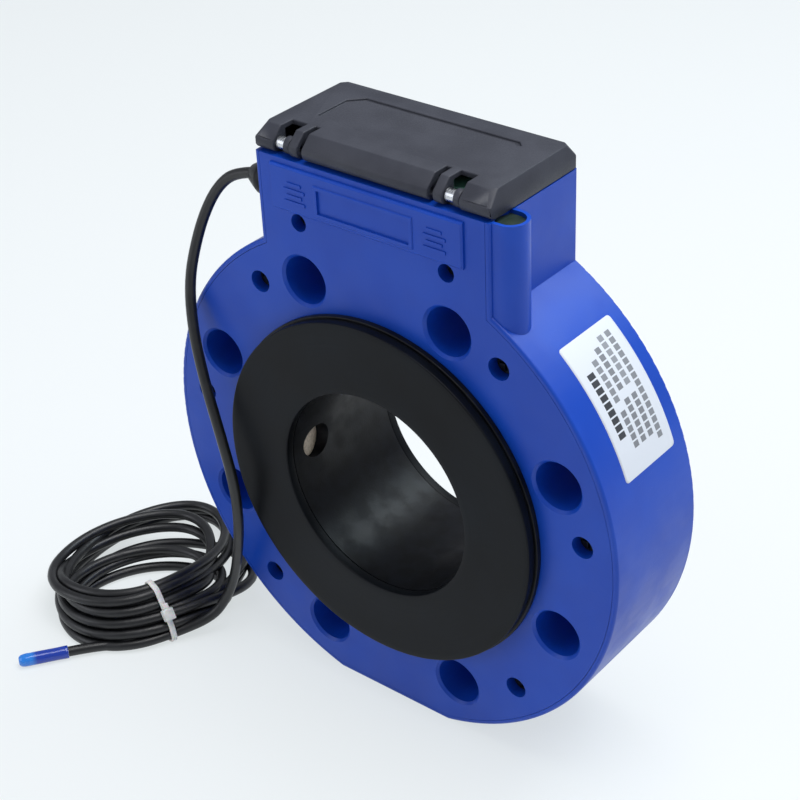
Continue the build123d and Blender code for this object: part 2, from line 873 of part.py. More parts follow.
def make_gland_nut():
    """Domed nut that squeezes the seal onto the cable."""
    start = gland_flange_x
    shoulder = start - gland_nut_straight
    dome = Polygon(
        (0, start), (gland_nut_radius, start), (gland_nut_radius, shoulder),
        (gland_nut_radius - gland_nut_shoulder_inset, shoulder - gland_nut_shoulder),
        (gland_tip_radius, gland_tip_x), (0, gland_tip_x),
        align=None,
    )
    nut = Pos(0, gland_y, gland_z) * Rot(0, 0, -90) * revolve(dome, Axis.Y)
    free = gland_thread_clearance
    pocket_x = gland_thread_x - free - gland_seal_length - gland_seal_end_gap
    nut -= rod_x(gland_y, gland_z, gland_neck_radius + free, gland_thread_x - free, start + past)
    nut -= rod_x(gland_y, gland_z, gland_seal_radius + free, pocket_x, start)
    return nut - rod_x(gland_y, gland_z, cable_radius + cord_clearance, gland_tip_x - past, start)


def make_gland_seal():
    """Rubber sleeve round the cable inside the nut."""
    high = gland_thread_x - gland_thread_clearance
    seal = rod_x(gland_y, gland_z, gland_seal_radius, high - gland_seal_length, high)
    return seal - rod_x(gland_y, gland_z, cable_radius + gland_seal_grip, gland_tip_x - past, high + past)


def make_gland_locknut():
    """Hexagon nut inside the wall."""
    end = wall_inner_x + locknut_thickness
    nut = along_x(Pos(gland_y, gland_z) * RegularPolygon(locknut_radius, 6), wall_inner_x, end)
    bore = gland_neck_radius + gland_thread_clearance
    return nut - rod_x(gland_y, gland_z, bore, wall_inner_x - past, end + past)


def make_inner_cable():
    """Stretch of cable held by the gland, from its slanted end at the lead to inside the box."""
    inner_end = wall_inner_x + inner_cable_length
    start = Vector(gland_tip_x, gland_y, gland_z)
    onward = Vector(*lead_route[0]) - start
    rod = rod_x(gland_y, gland_z, cable_radius, gland_tip_x - cable_radius, inner_end)
    return split(rod, bisect_by=Plane(origin=start, z_dir=onward), keep=Keep.BOTTOM)


def make_cable_lead():
    """Cable from the gland down the front of the ring to the floor."""
    return tube_along([(gland_tip_x, gland_y, gland_z)] + lead_route, cable_radius, "cable lead")


def make_cable_coil():
    """Outer shape of the loose coil: an oval heap with a hole, higher where it is tied."""
    oval = Ellipse(coil_half_width, coil_half_length)
    hole = Pos(0, coil_hole_shift) * Ellipse(coil_hole_half_width, coil_hole_half_length)
    heap = along_z(oval - hole, 0, coil_height)
    fall = coil_height - coil_rear_height
    start = coil_flat_length - coil_half_length
    slope = Polygon(
        (start, coil_height), (coil_half_length + bite, coil_height - fall),
        (coil_half_length + bite, coil_height + past), (start, coil_height + past),
        align=None,
    )
    heap -= along_x(slope, -coil_half_width - past, coil_half_width + past)
    x, y = coil_center
    return Pos(x, y, floor_z) * Rot(0, 0, coil_turn) * heap


def make_cable_tail():
    """Last stretch of cable from the coil to the sleeve."""
    return tube_along(tail_route, cable_radius, "cable tail")


def make_cable_sleeve():
    """Soft protective sleeve pushed on the cable's end."""
    end = Vector(*tail_route[-1])
    heading = end - Vector(*tail_route[-2])
    heading = Vector(heading.X, heading.Y, 0).normalized()
    body = Cylinder(sleeve_radius, sleeve_length, align=upright)
    tip = Cone(sleeve_radius, sleeve_tip_radius, sleeve_tip_length, align=upright)
    shape = body + Pos(0, 0, sleeve_length) * tip
    return Plane(origin=end, z_dir=heading) * shape


def make_cable_tie():
    """Nylon tie round the front of the coil."""
    low, high = tie_floor_gap, coil_height + tie_thickness
    outer = -coil_half_length - tie_thickness
    loop = block(-tie_width / 2, tie_width / 2, outer, tie_inner_reach, low, high)
    inset = tie_thickness
    loop -= block(-tie_width, tie_width, outer + inset, tie_inner_reach - inset, low + inset, high - inset)
    wide, tall, proud = tie_head_size
    face = outer + tie_thickness
    head_top = tie_head_height + tall
    head = block(-wide / 2, wide / 2, face - proud, face, tie_head_height, head_top)
    x, y = coil_center
    place = Pos(x, y, floor_z) * Rot(0, 0, coil_turn) * Pos(tie_place, tie_shift(), 0)
    return place * (loop + head)


def tie_shift():
    """How far the oval's front edge lies back at the tie."""
    return coil_half_length * (1 - sqrt(1 - (tie_place / coil_half_width) ** 2))


def make_rating_label():
    """Thin label bent round the ring's right side."""
    band = Circle(ring_radius + label_thickness) - Circle(ring_radius)
    low = radians(label_low_angle)
    high = radians(label_high_angle)
    reach = 2 * ring_radius
    low_corner = (reach * cos(low), reach * sin(low))
    high_corner = (reach * cos(high), reach * sin(high))
    sector = Polygon((0, 0), low_corner, high_corner, align=None)
    label = along_y(band & sector, label_front, label_rear)
    middle = (label_low_angle + label_high_angle) / 2
    height = radians(label_high_angle - label_low_angle) * ring_radius
    plate = RectangleRounded(height, label_rear - label_front, label_corner)
    cutter = along_z(plate, 0, reach)
    across = Pos(0, (label_front + label_rear) / 2, 0) * Rot(0, 90 - middle, 0) * cutter
    return label & across


def add(name, shape):
    """Keep a finished piece under its node name."""
    parts[name] = shape


add("body_shell", make_body_shell())
add("front_cover", make_front_cover())
add("cover_seal", make_cover_seal())
add("cover_screws", make_cover_screws())
add("flow_tube", make_flow_tube())
add("front_flange_ring", make_front_flange_ring())
add("front_gasket", make_gasket(-1))
add("rear_gasket", make_gasket(1))
for prefix, side in (("upstream", -1), ("downstream", 1)):
    add(prefix + "_transducer", make_transducer(side))
    add(prefix + "_transducer_face", make_transducer_face(side))
    add(prefix + "_lead", make_sensor_lead(side))
add("column_filler", make_column_filler())
add("main_board", make_main_board())
add("board_screws", upright_screws(board_screw_places(), board_top, board_screw_length))
add("battery_holder", make_battery_holder())
add("battery_cells", make_battery_cells())
add("lcd_module", make_lcd_module())
add("display_bezel", make_display_bezel())
add("bezel_screws", upright_screws(bezel_screw_places(), bezel_top, bezel_screw_length))
add("display_window", make_display_window())
add("lid", make_lid())
for prefix, side in (("left", -1), ("right", 1)):
    add(prefix + "_hinge_pin", make_hinge_pin(side))
    add(prefix + "_hinge_bush", make_hinge_bush(side))
add("gland_body", make_gland_body())
add("gland_nut", make_gland_nut())
add("gland_seal", make_gland_seal())
add("gland_locknut", make_gland_locknut())
add("inner_cable", make_inner_cable())
add("cable_lead", make_cable_lead())
add("cable_coil", make_cable_coil())
add("cable_tail", make_cable_tail())
add("cable_sleeve", make_cable_sleeve())
add("cable_tie", make_cable_tie())
add("rating_label", make_rating_label())

os.makedirs("parts", exist_ok=True)
for name, shape in parts.items():
    export_step(shape, "parts/" + name + ".step")
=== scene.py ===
# %% [markdown]
# # An ultrasonic flow meter and its cable
# The meter is a blue moulded ring that is clamped between two pipe flanges. A black tube lines its
# bore, a hinged black lid covers the display on top, and a signal cable leaves through a gland.
# The solid model gives every piece its place, so this lesson loads it first, in metres, and then
# dresses it: the cable becomes one smooth curve, sharp moulded edges get their small radii, and
# every surface gets the finish of its real material.

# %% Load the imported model
import bmesh
import bpy
import numpy as np
from mathutils import Matrix, Vector


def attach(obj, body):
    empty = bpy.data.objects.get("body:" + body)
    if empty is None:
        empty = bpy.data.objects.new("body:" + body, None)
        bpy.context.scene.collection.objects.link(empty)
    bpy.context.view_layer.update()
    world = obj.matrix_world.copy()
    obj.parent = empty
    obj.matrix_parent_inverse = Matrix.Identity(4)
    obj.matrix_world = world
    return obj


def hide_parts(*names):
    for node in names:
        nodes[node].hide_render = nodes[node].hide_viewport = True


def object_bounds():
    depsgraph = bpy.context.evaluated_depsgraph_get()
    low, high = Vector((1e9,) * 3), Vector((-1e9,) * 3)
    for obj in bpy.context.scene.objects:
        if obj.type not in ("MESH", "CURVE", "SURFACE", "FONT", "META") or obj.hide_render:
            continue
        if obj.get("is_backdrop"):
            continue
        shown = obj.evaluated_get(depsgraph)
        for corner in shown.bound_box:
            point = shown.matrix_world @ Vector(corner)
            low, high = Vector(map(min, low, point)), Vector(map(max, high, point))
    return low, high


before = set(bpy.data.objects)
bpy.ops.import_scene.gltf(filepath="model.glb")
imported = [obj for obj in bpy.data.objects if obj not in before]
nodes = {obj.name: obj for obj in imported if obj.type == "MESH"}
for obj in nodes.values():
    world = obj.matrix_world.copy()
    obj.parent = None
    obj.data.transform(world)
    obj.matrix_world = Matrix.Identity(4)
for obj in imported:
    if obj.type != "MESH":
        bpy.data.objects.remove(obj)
cad_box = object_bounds()
MM = 0.001
print("nodes", len(nodes), "box", [[round(c, 4) for c in corner] for corner in cad_box])

# %% [markdown]
# ## Camera
# The photograph was taken with a long lens from above, a little to the right of the ring's axis.
# The eight bolt holes lie on a circle of known size, so the camera could be solved from them: its
# turn, tilt and roll, its distance, and a focal length of about 83 mm. Three axes and the eye's
# place make its matrix from them.

# %% Camera
TURN, TILT, ROLL = np.radians([40.02, 32.38, -2.68])
DISTANCE, SIDE_STEP, RISE, FRONT_FACE_Y = 650.7, 5.94, 31.40, -24.0
LENS, SENSOR_WIDTH, NEAREST = 82.91, 36.0, 0.02


def camera_axes():
    """Right, up and back of the camera: back = (sin t cos e, -cos t cos e, sin e), others rolled."""
    back = np.array([np.sin(TURN) * np.cos(TILT), -np.cos(TURN) * np.cos(TILT), np.sin(TILT)])
    right = np.cross([0, 0, 1], back)
    right /= np.linalg.norm(right)
    up = np.cross(back, right)
    rolled_right = np.cos(ROLL) * right + np.sin(ROLL) * up
    rolled_up = np.cos(ROLL) * up - np.sin(ROLL) * right
    return rolled_right, rolled_up, back


right, up, back = camera_axes()
eye = (right * SIDE_STEP + up * RISE + back * DISTANCE + [0, FRONT_FACE_Y, 0]) * MM
camera_data = bpy.data.cameras.new("camera")
camera_data.lens = LENS
camera_data.sensor_width = SENSOR_WIDTH
camera_data.clip_start = NEAREST
camera = bpy.data.objects.new("camera", camera_data)
bpy.context.scene.collection.objects.link(camera)
turned = Matrix([list(row) for row in np.column_stack([right, up, back])])
camera.matrix_world = Matrix.Translation(eye) @ turned.to_4x4()
bpy.context.scene.camera = camera
print("eye", np.round(eye, 4))

# %% [markdown]
# ## Helpers for pieces
# Every new piece has its place in its mesh and its object at the origin, as the solid model's
# pieces have. A surface is a grid of points, worked out as whole arrays. Its faces join neighbours
# on the grid, and a direction that closes on itself joins its last row to its first.

# %% Helpers for pieces
WELD = 1e-6


def link_piece(name, data, body="housing"):
    """Put a piece into the scene and let it move with one body of the model."""
    piece = bpy.data.objects.new(name, data)
    bpy.context.scene.collection.objects.link(piece)
    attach(piece, body)
    return piece


def grid_mesh(name, points, close_u=False, close_v=False, smooth=True):
    """Mesh of a grid of points in mm: face (i, j) joins (i, j), (i+1, j), (i+1, j+1), (i, j+1)."""
    rows, columns = points.shape[:2]
    i = np.arange(rows if close_u else rows - 1)[:, None]
    j = np.arange(columns if close_v else columns - 1)[None, :]
    corner = lambda a, b: (a % rows) * columns + (b % columns)
    around = [corner(i, j), corner(i + 1, j), corner(i + 1, j + 1), corner(i, j + 1)]
    faces = np.stack(around, axis=-1)
    mesh = bpy.data.meshes.new(name)
    mesh.from_pydata((points.reshape(-1, 3) * MM).tolist(), [], faces.reshape(-1, 4).tolist())
    mesh.polygons.foreach_set("use_smooth", np.full(len(mesh.polygons), smooth))
    return mesh


def outward(mesh):
    """Weld doubled points, then turn all faces of a closed shell outwards."""
    shell = bmesh.new()
    shell.from_mesh(mesh)
    bmesh.ops.remove_doubles(shell, verts=shell.verts, dist=WELD)
    bmesh.ops.recalc_face_normals(shell, faces=shell.faces)
    shell.to_mesh(mesh)
    shell.free()
    return mesh


print("helpers ready")

# %% [markdown]
# ## The cable
# The cable is 4 mm thick, with a stiff black sheath. It leaves the gland, hangs in front of the
# ring, and about two metres of it lie wound up on the bench, tied with one white tie. A real cable
# is one smooth line, so here it is one NURBS spline. The first points are the route down from the
# gland. The turns of the coil come from a loop: at the tie they lie beside and on each other, and
# away from it they fan out, each with its own size.

# %% Points of the cable
FLOOR = -94.6
CABLE_RADIUS = 2.0
# Plan directions of the coil: u leads away from the camera, v to the picture's right.
ALONG_U = np.array([-0.643, 0.766])
ALONG_V = np.array([0.766, 0.643])
route_down = [
    (-59.5, -14.1, 103.2), (-67.7, -14.3, 101.1), (-74.5, -15.6, 95.9), (-79.6, -18.0, 87.2),
    (-83.2, -21.6, 74.7), (-84.8, -26.4, 58.5), (-81.0, -30.8, 41.0), (-74.2, -34.2, 23.0),
    (-66.2, -36.8, 4.0), (-60.6, -37.9, -14.5), (-61.4, -36.8, -33.0), (-66.6, -33.8, -50.0),
    (-72.4, -31.6, -66.8), (-77.0, -33.0, -79.0), (-80.4, -38.6, -86.6),
]
route_out = [(-103.4, -67.4, -92.5), (-111.0, -75.2, -92.0), (-116.9, -83.2, -92.0)]
# Each turn: half length, half width on the left and on the right, place across, and then its layer
# and column at the tie and its height at the rear.
turns = [
    (43.0, 37.0, 35.0, -97.0, 0, 0, 2.0),
    (25.0, 30.0, 34.0, -97.0, 0, 1, 2.0),
    (41.0, 38.0, 36.0, -97.0, 1, 0, 6.0),
    (24.5, 29.0, 30.0, -97.0, 1, 1, 6.0),
    (31.5, 31.0, 43.0, -98.0, 2, 1, 2.5),
    (39.5, 36.0, 28.0, -98.0, 2, 0, 3.0),
    (24.0, 30.0, 27.0, -98.0, 3, 1, 9.0),
    (37.5, 34.0, 27.0, -98.0, 3, 0, 10.0),
    (31.5, 35.0, 26.0, -99.0, 4, 1, 8.0),
    (35.5, 38.0, 25.5, -99.0, 4, 0, 13.0),
    (30.0, 30.0, 30.0, -99.0, 1, 0, 4.0),
]
POINTS_PER_TURN = 16
TIE_ANGLE = np.radians(-58.0)
# At the tie the strands lie in layers and columns: where the first lies, and the steps back and up.
FIRST_FRONT, LAYER_BACK, COLUMN_BACK = 31.0, 1.9, 4.1
LAYER_UP, COLUMN_UP, LIFT_AT_TIE = 4.05, 0.6, 1.3
# Shares of a turn: to take on the next one's size, to start and make the climb, to lie at the tie.
SIZE_SHARE, CLIMB_START, CLIMB_SHARE, TIE_SHARE = 0.36, 0.15, 0.7, 0.16
# The ovals lean to the right with u, and pass from front to rear height over this part of the sine.
LEAN, LEAN_FROM = 0.22, 72
SINE_LOW, SINE_SPAN = 0.55, 1.4


def ease(t):
    """Smooth step from 0 to 1: 3 t^2 - 2 t^3."""
    t = np.clip(t, 0.0, 1.0)
    return t * t * (3 - 2 * t)


def coil_points():
    """A turn is an oval, u = front + b (1 + sin p), v = middle + lean + a cos p, ending as the next."""
    table = np.array(turns)
    last = len(turns) - 1
    points = []
    for step in range(last * POINTS_PER_TURN + 1):
        turn = min(step // POINTS_PER_TURN, last - 1)
        part = step / POINTS_PER_TURN - turn
        other = max(turn - 1, 0) if part < 0.5 else turn + 1
        to_tie = min(part, 1 - part)
        keep = ease(0.5 + to_tie / SIZE_SHARE)
        half, left, right_side, middle, _, _, rear = table[turn] * keep + table[other] * (1 - keep)
        moved = ease((part - CLIMB_START) / CLIMB_SHARE)
        layer, column = table[turn, 4:6] * (1 - moved) + table[turn + 1, 4:6] * moved
        at_tie = ease(1 - to_tie / TIE_SHARE)
        front = FIRST_FRONT + LAYER_BACK * layer + COLUMN_BACK * column
        height = CABLE_RADIUS + LIFT_AT_TIE * at_tie + LAYER_UP * layer + COLUMN_UP * column
        angle = TIE_ANGLE - 2 * np.pi * part
        u = front + half * (1 + np.sin(angle))
        wide = right_side if np.cos(angle) > 0 else left
        v = middle + LEAN * (u - LEAN_FROM) + wide * np.cos(angle)
        low = ease((SINE_LOW - np.sin(angle)) / SINE_SPAN)
        x, y = ALONG_V * v + ALONG_U * u
        points.append((x, y + FRONT_FACE_Y, FLOOR + height * low + rear * (1 - low)))
    return points


cable_points = np.array(route_down + coil_points() + route_out)
print("cable points", len(cable_points), "of them in the coil", len(coil_points()))

# %% Cable as one smooth curve
cable_curve = bpy.data.curves.new("cable", "CURVE")
cable_curve.dimensions = "3D"
spline = cable_curve.splines.new("NURBS")
spline.points.add(len(cable_points) - 1)
weighted = np.column_stack([cable_points * MM, np.ones(len(cable_points))])
spline.points.foreach_set("co", weighted.ravel())
spline.points.foreach_set("radius", np.full(len(cable_points), CABLE_RADIUS * MM))
spline.order_u = 3
spline.use_endpoint_u = True
spline.resolution_u = 6
cable_curve.resolution_u = 6
cable = link_piece("cable", cable_curve)


def curve_line(piece):
    """The points that the curve's own line passes through, in mm."""
    bare = piece.copy()
    bare.data = piece.data.copy()
    bare.data.bevel_depth = 0
    bpy.context.scene.collection.objects.link(bare)
    bpy.context.view_layer.update()
    mesh = bpy.data.meshes.new_from_object(bare)
    line = np.empty(len(mesh.vertices) * 3)
    mesh.vertices.foreach_get("co", line)
    bpy.data.objects.remove(bare)
    bpy.data.meshes.remove(mesh)
    return line.reshape(-1, 3) / MM


cable_line = curve_line(cable)
cable_curve.bevel_depth = 1.0
cable_curve.bevel_resolution = 4
cable_curve.use_fill_caps = True
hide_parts("cable_lead", "cable_coil", "cable_tail")

# %% [markdown]
# ## End sleeve
# The free end wears a soft blue sleeve, so that its cores stay dry. It is a turned shape: a
# profile of radii, carried round the cable's last direction. The profile swells a little where the
# sleeve has slipped over the sheath, and its tip is closed.

# %% End sleeve
def turned_shape(start, heading, profile, around=40):
    """Points start + h heading + r (cos q side + sin q over), for each (h, r) of a profile."""
    heading = heading / np.linalg.norm(heading)
    side = np.cross(heading, [0, 0, 1])
    side /= np.linalg.norm(side)
    over = np.cross(side, heading)
    q = np.linspace(0, 2 * np.pi, around, endpoint=False)
    circle = np.cos(q)[:, None] * side + np.sin(q)[:, None] * over
    along, radius = np.array(profile).T
    return start + along[:, None, None] * heading + radius[:, None, None] * circle[None]


sleeve_start = np.array(route_out[-1])
sleeve_heading = sleeve_start - np.array(route_out[-2])
sleeve_heading[2] = 0.0
# Place along the sleeve and radius there, from its open end to its tip.
sleeve_profile = [
    (0.0, 2.03), (0.0, 2.45), (0.25, 2.58), (1.2, 2.6), (4.0, 2.54), (8.0, 2.56), (12.0, 2.6),
    (14.5, 2.57), (16.0, 2.6), (17.2, 2.56), (18.2, 2.36), (18.9, 2.0), (19.3, 1.6), (19.4, 0.9),
    (19.4, 0.01),
]
sleeve_points = turned_shape(sleeve_start, sleeve_heading, sleeve_profile)
sleeve = link_piece("end_sleeve", outward(grid_mesh("end_sleeve", sleeve_points, close_v=True)))
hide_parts("cable_sleeve")
print("sleeve reaches", np.round(sleeve_points.reshape(-1, 3).min(0), 1))

# %% [markdown]
# ## Cable tie
# A nylon tie is a flat strap, pulled round the bundle through a small square head. Its line is the
# tightest loop round the strands, so it is worked out from them: the cable's line is cut by the
# tie's plane, and for each direction the strand that reaches furthest holds the strap one cable
# radius further out.

# %% Cable tie
tie_centre = np.array([-90.5, 40.5])
tie_normal = np.array([-0.80, -0.60])
BUNDLE_REACH, STRAP_GAP, STRAP_STEPS = 14.0, 0.12, 120


def strands_at(plane_point, plane_normal, reach):
    """Where the cable's line crosses a standing plane: start + (end - start) d0 / (d0 - d1)."""
    flat = np.column_stack([cable_line[:, :2] - [0, FRONT_FACE_Y], cable_line[:, 2]])
    v, u = flat[:, :2] @ ALONG_V, flat[:, :2] @ ALONG_U
    depth = (v - plane_point[0]) * plane_normal[0] + (u - plane_point[1]) * plane_normal[1]
    cross = np.flatnonzero(depth[:-1] * depth[1:] < 0)
    share = (depth[cross] / (depth[cross] - depth[cross + 1]))[:, None]
    places = np.column_stack([v, u, cable_line[:, 2]])
    hits = places[cross] * (1 - share) + places[cross + 1] * share
    near = np.hypot(hits[:, 0] - plane_point[0], hits[:, 1] - plane_point[1]) < reach
    return hits[near]


strands = strands_at(tie_centre, tie_normal, BUNDLE_REACH)
across = np.array([-tie_normal[1], tie_normal[0]])
flat_strands = np.column_stack([(strands[:, :2] - tie_centre) @ across, strands[:, 2]])
q = np.linspace(0, 2 * np.pi, STRAP_STEPS, endpoint=False)
direction = np.column_stack([np.cos(q), np.sin(q)])
furthest = (flat_strands @ direction.T).argmax(axis=0)


def strap_loop(offset):
    """Loop at one distance from the strands: p = strand(q) + (radius + offset) (cos q, sin q)."""
    loop = flat_strands[furthest] + (CABLE_RADIUS + offset) * direction
    loop[:, 1] = np.maximum(loop[:, 1], FLOOR + STRAP_GAP)
    return loop


def tie_space(loop, along):
    """From the tie's plane (across, height) and a place along the bundle to the model's frame."""
    vu = tie_centre + loop[:, :1] * across + along * tie_normal
    xy = vu[:, :1] * ALONG_V + vu[:, 1:] * ALONG_U + [0, FRONT_FACE_Y]
    return np.column_stack([xy, loop[:, 1]])


print("strands in the tie", len(strands), "from", np.round(flat_strands.min(0), 1))
# The strap's section: distance from the strands, and place along the bundle.
section = [
    (STRAP_GAP, -1.0), (STRAP_GAP, 1.0), (0.3, 1.15), (0.85, 1.15),
    (1.05, 1.0), (1.05, -1.0), (0.85, -1.15), (0.3, -1.15),
]
strap_points = np.stack([tie_space(strap_loop(out), along) for out, along in section], axis=1)
strap_mesh = outward(grid_mesh("cable_tie", strap_points, close_u=True, close_v=True))

# %% Head and loose end of the tie
HEAD_TURN, HEAD_OUT = 0.6, 1.9
HEAD_HALF, END_HALF, END_ROUNDING = (2.2, 1.6, 2.4), (1.15, 0.5, 1.6), 0.2
END_OUT, END_UP = 0.4, 3.0
UP = np.array([0.0, 0.0, 1.0])


def soft_box(centre, axes, half, rounding=0.35, steps=7):
    """Box with rounded edges: grid points p go to c + r (p - c) / |p - c|, with c the clamped p."""
    s = np.linspace(-1, 1, steps)
    a, b = np.meshgrid(s, s, indexing="ij")
    one = np.ones_like(a)
    sides = [(a, b, one), (a, b, -one), (a, one, b), (a, -one, b), (one, a, b), (-one, a, b)]
    meshes = []
    for side in sides:
        p = np.stack(side, axis=-1) * half
        c = np.clip(p, rounding - np.array(half), np.array(half) - rounding)
        out = p - c
        size = np.linalg.norm(out, axis=-1, keepdims=True)
        p = c + rounding * out / np.maximum(size, 1e-9)
        meshes.append(centre + p @ np.array(axes))
    return meshes


def joined(name, grids):
    """One mesh from several grids of points."""
    whole = bmesh.new()
    for grid in grids:
        part = grid_mesh(name, grid)
        whole.from_mesh(part)
        bpy.data.meshes.remove(part)
    mesh = bpy.data.meshes.new(name)
    whole.to_mesh(mesh)
    whole.free()
    return outward(mesh)


head_place = int(np.argmin(np.abs(q - HEAD_TURN)))
out_flat = direction[head_place]
across_xyz = np.array([*(across[0] * ALONG_V + across[1] * ALONG_U), 0.0])
bundle = np.array([*(tie_normal[0] * ALONG_V + tie_normal[1] * ALONG_U), 0.0])
outwards = out_flat[0] * across_xyz + out_flat[1] * UP
upwards = out_flat[0] * UP - out_flat[1] * across_xyz
head_centre = tie_space(strap_loop(HEAD_OUT)[head_place][None], 0.0)[0]
axes = [bundle, outwards, upwards]
head_mesh = joined("tie_head", soft_box(head_centre, axes, HEAD_HALF))
stub = head_centre + outwards * END_OUT + upwards * END_UP
stub_mesh = joined("tie_end", soft_box(stub, axes, END_HALF, rounding=END_ROUNDING))
tie_whole = bmesh.new()
for part in (strap_mesh, head_mesh, stub_mesh):
    tie_whole.from_mesh(part)
tie_whole.to_mesh(strap_mesh)
tie_whole.free()
tie = link_piece("cable_tie_strap", strap_mesh)
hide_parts("cable_tie")
print("tie faces", len(strap_mesh.polygons))

# %% [markdown]
# ## Moulded edges
# No moulded edge is sharp: the tool's corners are rounded, and that thin bright line is what makes
# plastic look real. The solid's mesh is loose triangles, so a copy is welded, its flat areas are
# joined into single faces, and a Bevel modifier with a real radius rounds every edge that is
# sharper than a given angle.

# %% Rounded copies of moulded pieces
LOOSE, FLAT_ANGLE, EDGE_ANGLE, EDGE_STEPS = 2e-6, 0.4, 32.0, 2


def rounded_copy(node, radius, body="housing"):
    """Copy of a solid's mesh that stands for it, its sharp edges rounded to a radius in mm."""
    mesh = nodes[node].data.copy()
    shell = bmesh.new()
    shell.from_mesh(mesh)
    bmesh.ops.remove_doubles(shell, verts=shell.verts, dist=LOOSE)
    bmesh.ops.dissolve_degenerate(shell, edges=shell.edges, dist=WELD)
    flat = np.radians(FLAT_ANGLE)
    bmesh.ops.dissolve_limit(shell, angle_limit=flat, verts=shell.verts, edges=shell.edges)
    for face in shell.faces:
        face.smooth = True
    shell.to_mesh(mesh)
    shell.free()
    piece = link_piece(node + "_moulded", mesh, body)
    bevel = piece.modifiers.new("edge radius", "BEVEL")
    bevel.width = radius * MM
    bevel.segments = EDGE_STEPS
    bevel.limit_method = "ANGLE"
    bevel.angle_limit = np.radians(EDGE_ANGLE)
    bevel.use_clamp_overlap = False
    bevel.harden_normals = True
    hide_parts(node)
    return piece


lid_piece = rounded_copy("lid", 0.4, body="lid")
bezel_piece = rounded_copy("display_bezel", 0.2)
nut_piece = rounded_copy("gland_nut", 0.3)
print("rounded pieces", [piece.name for piece in (lid_piece, bezel_piece, nut_piece)])

# %% [markdown]
# ## The ring's outer wall
# The solid's mesh goes round the ring in chords of about three degrees, and between them flat
# triangles cut across the rounded rims, so that the outline shows small nicks. In a copy of the
# shell the edges on the wall and its rims are divided, and the new points are set on the true
# wall: a circle of 98 mm radius, and towards each end the quarter round of 1.1 mm that leads into
# the flat face.

# %% The true wall, and the edges that miss it
WALL_RADIUS, WALL_ROUND, WALL_END = 98.0, 1.1, 24.0
ROUND_START, ROUND_CENTRE = WALL_END - WALL_ROUND, WALL_RADIUS - WALL_ROUND
# Edges that are divided turn by 1 to 6 degrees, or lead over a rim by more than 0.2 mm.
TURN_LOW, TURN_HIGH, OVER_RIM, CUTS = 1.0, 6.0, 0.2, 3
NEAR_WALL, SLACK, SHARP_ANGLE = 0.02, 0.01, 30.0


def true_wall(points):
    """Points set on the wall: r = R, and in a rim c + a (p - c) / |p - c|, a round about c."""
    radius = np.hypot(points[:, 0], points[:, 2])
    beyond = np.abs(points[:, 1]) - ROUND_START
    stretch = WALL_ROUND / np.hypot(radius - ROUND_CENTRE, beyond)
    in_rim = beyond > 0
    share = np.where(in_rim, ROUND_CENTRE + (radius - ROUND_CENTRE) * stretch, WALL_RADIUS) / radius
    rim_depth = np.sign(points[:, 1]) * (ROUND_START + beyond * stretch)
    depth = np.where(in_rim, rim_depth, points[:, 1])
    return np.column_stack([points[:, 0] * share, depth, points[:, 2] * share])


def mesh_points(mesh):
    """Vertices of a mesh in mm."""
    co = np.empty(len(mesh.vertices) * 3)
    mesh.vertices.foreach_get("co", co)
    return co.reshape(-1, 3) / MM


def coarse_edges(mesh, points):
    """Which edges of a mesh lie on the wall and are long round it or over a rim."""
    ends = np.empty(len(mesh.edges) * 2, dtype=np.int32)
    mesh.edges.foreach_get("vertices", ends)
    ends = ends.reshape(-1, 2)
    on_wall = np.linalg.norm(true_wall(points) - points, axis=1) < NEAR_WALL
    on_wall &= np.hypot(points[:, 0], points[:, 2]) > ROUND_CENTRE - SLACK
    angle = np.arctan2(points[:, 2], points[:, 0])
    turned_by = np.degrees(np.abs(angle[ends[:, 0]] - angle[ends[:, 1]]))
    in_rim = (np.abs(points[:, 1]) > ROUND_START - SLACK)[ends].all(axis=1)
    over_rim = in_rim & (np.abs(points[ends[:, 0], 1] - points[ends[:, 1], 1]) > OVER_RIM)
    return on_wall[ends].all(axis=1) & (turned_by < TURN_HIGH) & ((turned_by > TURN_LOW) | over_rim)


print("wall of radius", WALL_RADIUS, "and rims of", WALL_ROUND)

# %% Divide the edges and set the new points on the wall
shell_mesh = nodes["body_shell"].data.copy()
if "custom_normal" in shell_mesh.attributes:
    shell_mesh.attributes.remove(shell_mesh.attributes["custom_normal"])
shell = bmesh.new()
shell.from_mesh(shell_mesh)
bmesh.ops.remove_doubles(shell, verts=shell.verts, dist=LOOSE)
shell.to_mesh(shell_mesh)
shell.free()
before = mesh_points(shell_mesh)
chords = coarse_edges(shell_mesh, before)
shell = bmesh.new()
shell.from_mesh(shell_mesh)
shell.edges.ensure_lookup_table()
coarse = [shell.edges[k] for k in np.flatnonzero(chords)]
bmesh.ops.subdivide_edges(shell, edges=coarse, cuts=CUTS)
shell.to_mesh(shell_mesh)
shell.free()
after = mesh_points(shell_mesh)
after[len(before):] = true_wall(after[len(before):])
shell_mesh.vertices.foreach_set("co", (after * MM).ravel())
shell_mesh.polygons.foreach_set("use_smooth", np.full(len(shell_mesh.polygons), True))
shell_mesh.set_sharp_from_angle(angle=np.radians(SHARP_ANGLE))
shell_piece = link_piece("body_shell_moulded", shell_mesh)
even = shell_piece.modifiers.new("flat faces stay flat", "WEIGHTED_NORMAL")
even.keep_sharp = True
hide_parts("body_shell")
print("edges divided", int(chords.sum()), "faces", len(shell_mesh.polygons))

# %% [markdown]
# ## Gaskets and the front flange ring
# Each gasket is a turned rubber ring that is pressed against a pipe flange. A profile of radius
# and depth, turned about the bore, gives it. Its corners are round, and its face dips by a tenth
# of a millimetre between the rims, as moulded rubber does. The flange ring behind the front gasket
# is a thin plate with broken edges.

